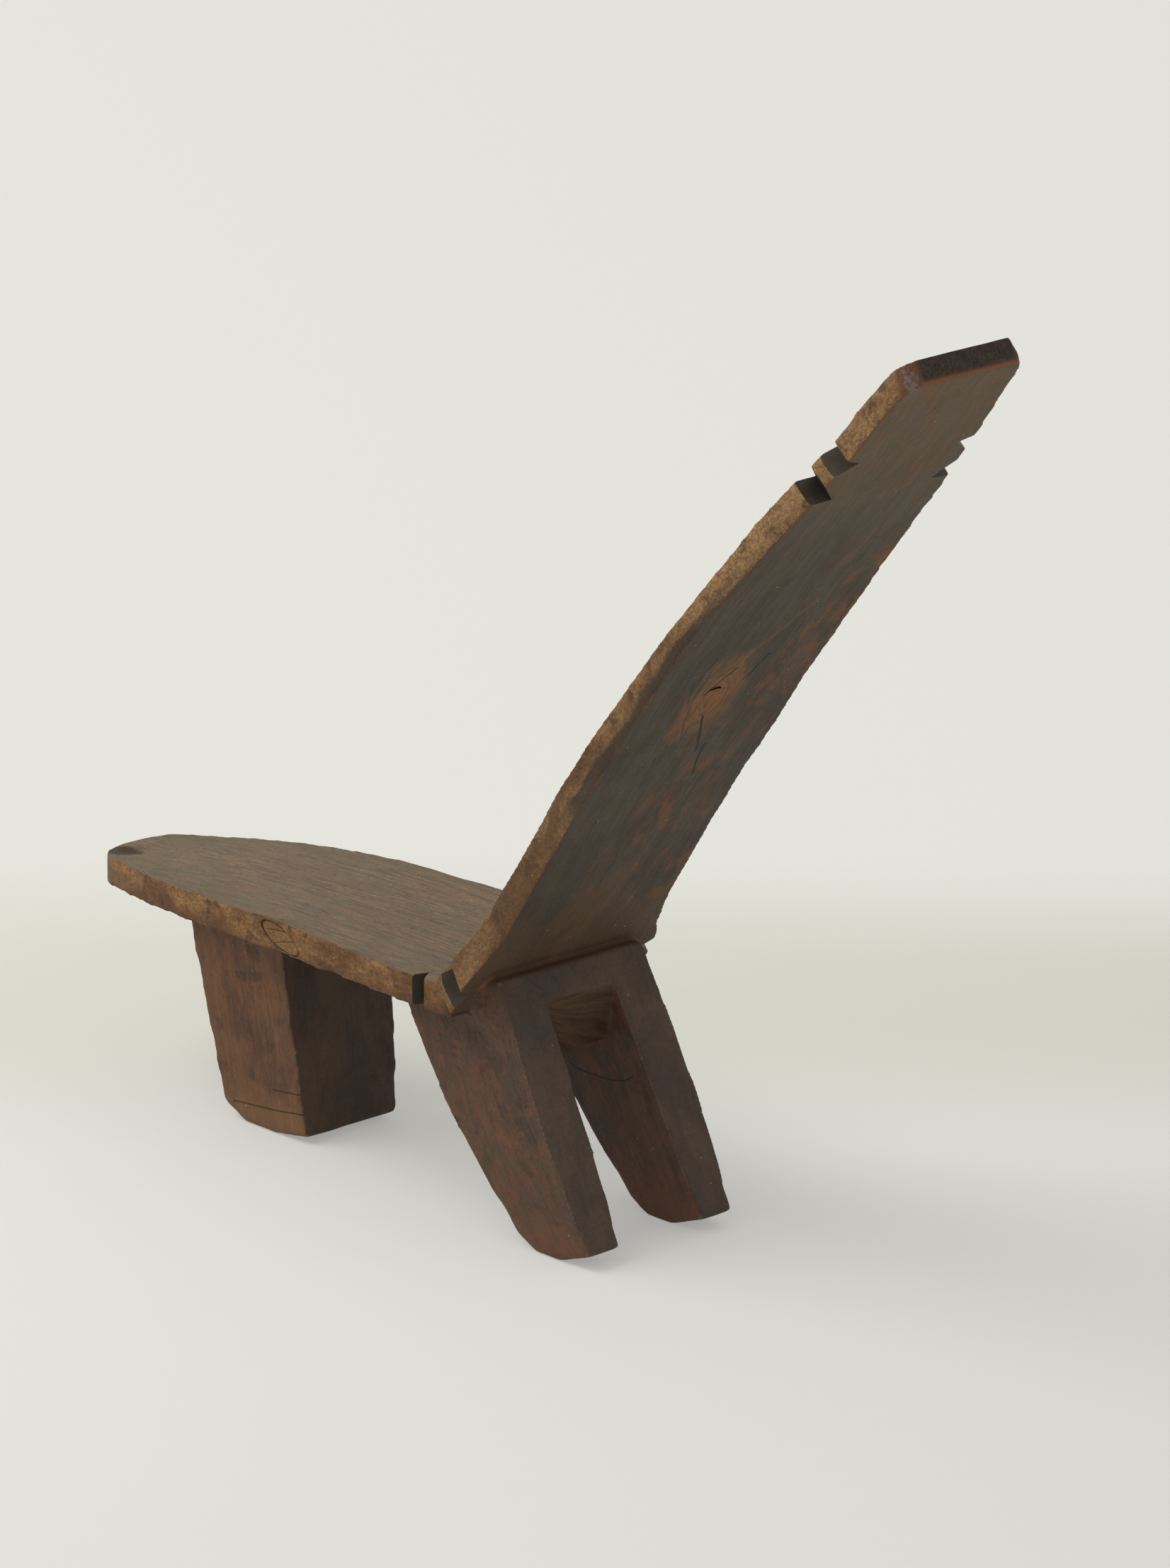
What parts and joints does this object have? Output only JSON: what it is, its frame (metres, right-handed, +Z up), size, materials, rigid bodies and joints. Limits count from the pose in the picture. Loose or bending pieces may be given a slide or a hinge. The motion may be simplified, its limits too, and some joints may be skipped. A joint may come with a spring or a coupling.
{
  "type": "low reclining chair",
  "caption": "Low carved wooden birthing chair: pointed seat on a broad front leg, tall bowed backrest leaning over two raked rear legs, notched sides.",
  "frame": {"origin": "on the floor, under the middle of the chair's bounding box", "axes": "+Z up, -Y towards the nose of the seat, +Y the side the backrest leans to, +X across the seat, the side with the seat edge knot"},
  "size_m": [0.2, 0.8892, 0.7167],
  "materials": {
    "seat_wood": "weathered grey-brown, worn by use",
    "back_wood": "dark grey-brown patina with reddish streaks",
    "leg_wood": "dark red-brown, smooth from handling",
    "knot_wood": "lighter brown, cracked branch wood"
  },
  "bodies": {
    "root": {"seat": "seat_wood", "seat_edge_knot": "knot_wood", "backrest": "back_wood", "backrest_knot": "knot_wood", "front_leg": "leg_wood", "rear_leg_right": "leg_wood", "rear_leg_left": "leg_wood", "rear_leg_bridge": "leg_wood"}
  },
  "joints": []
}
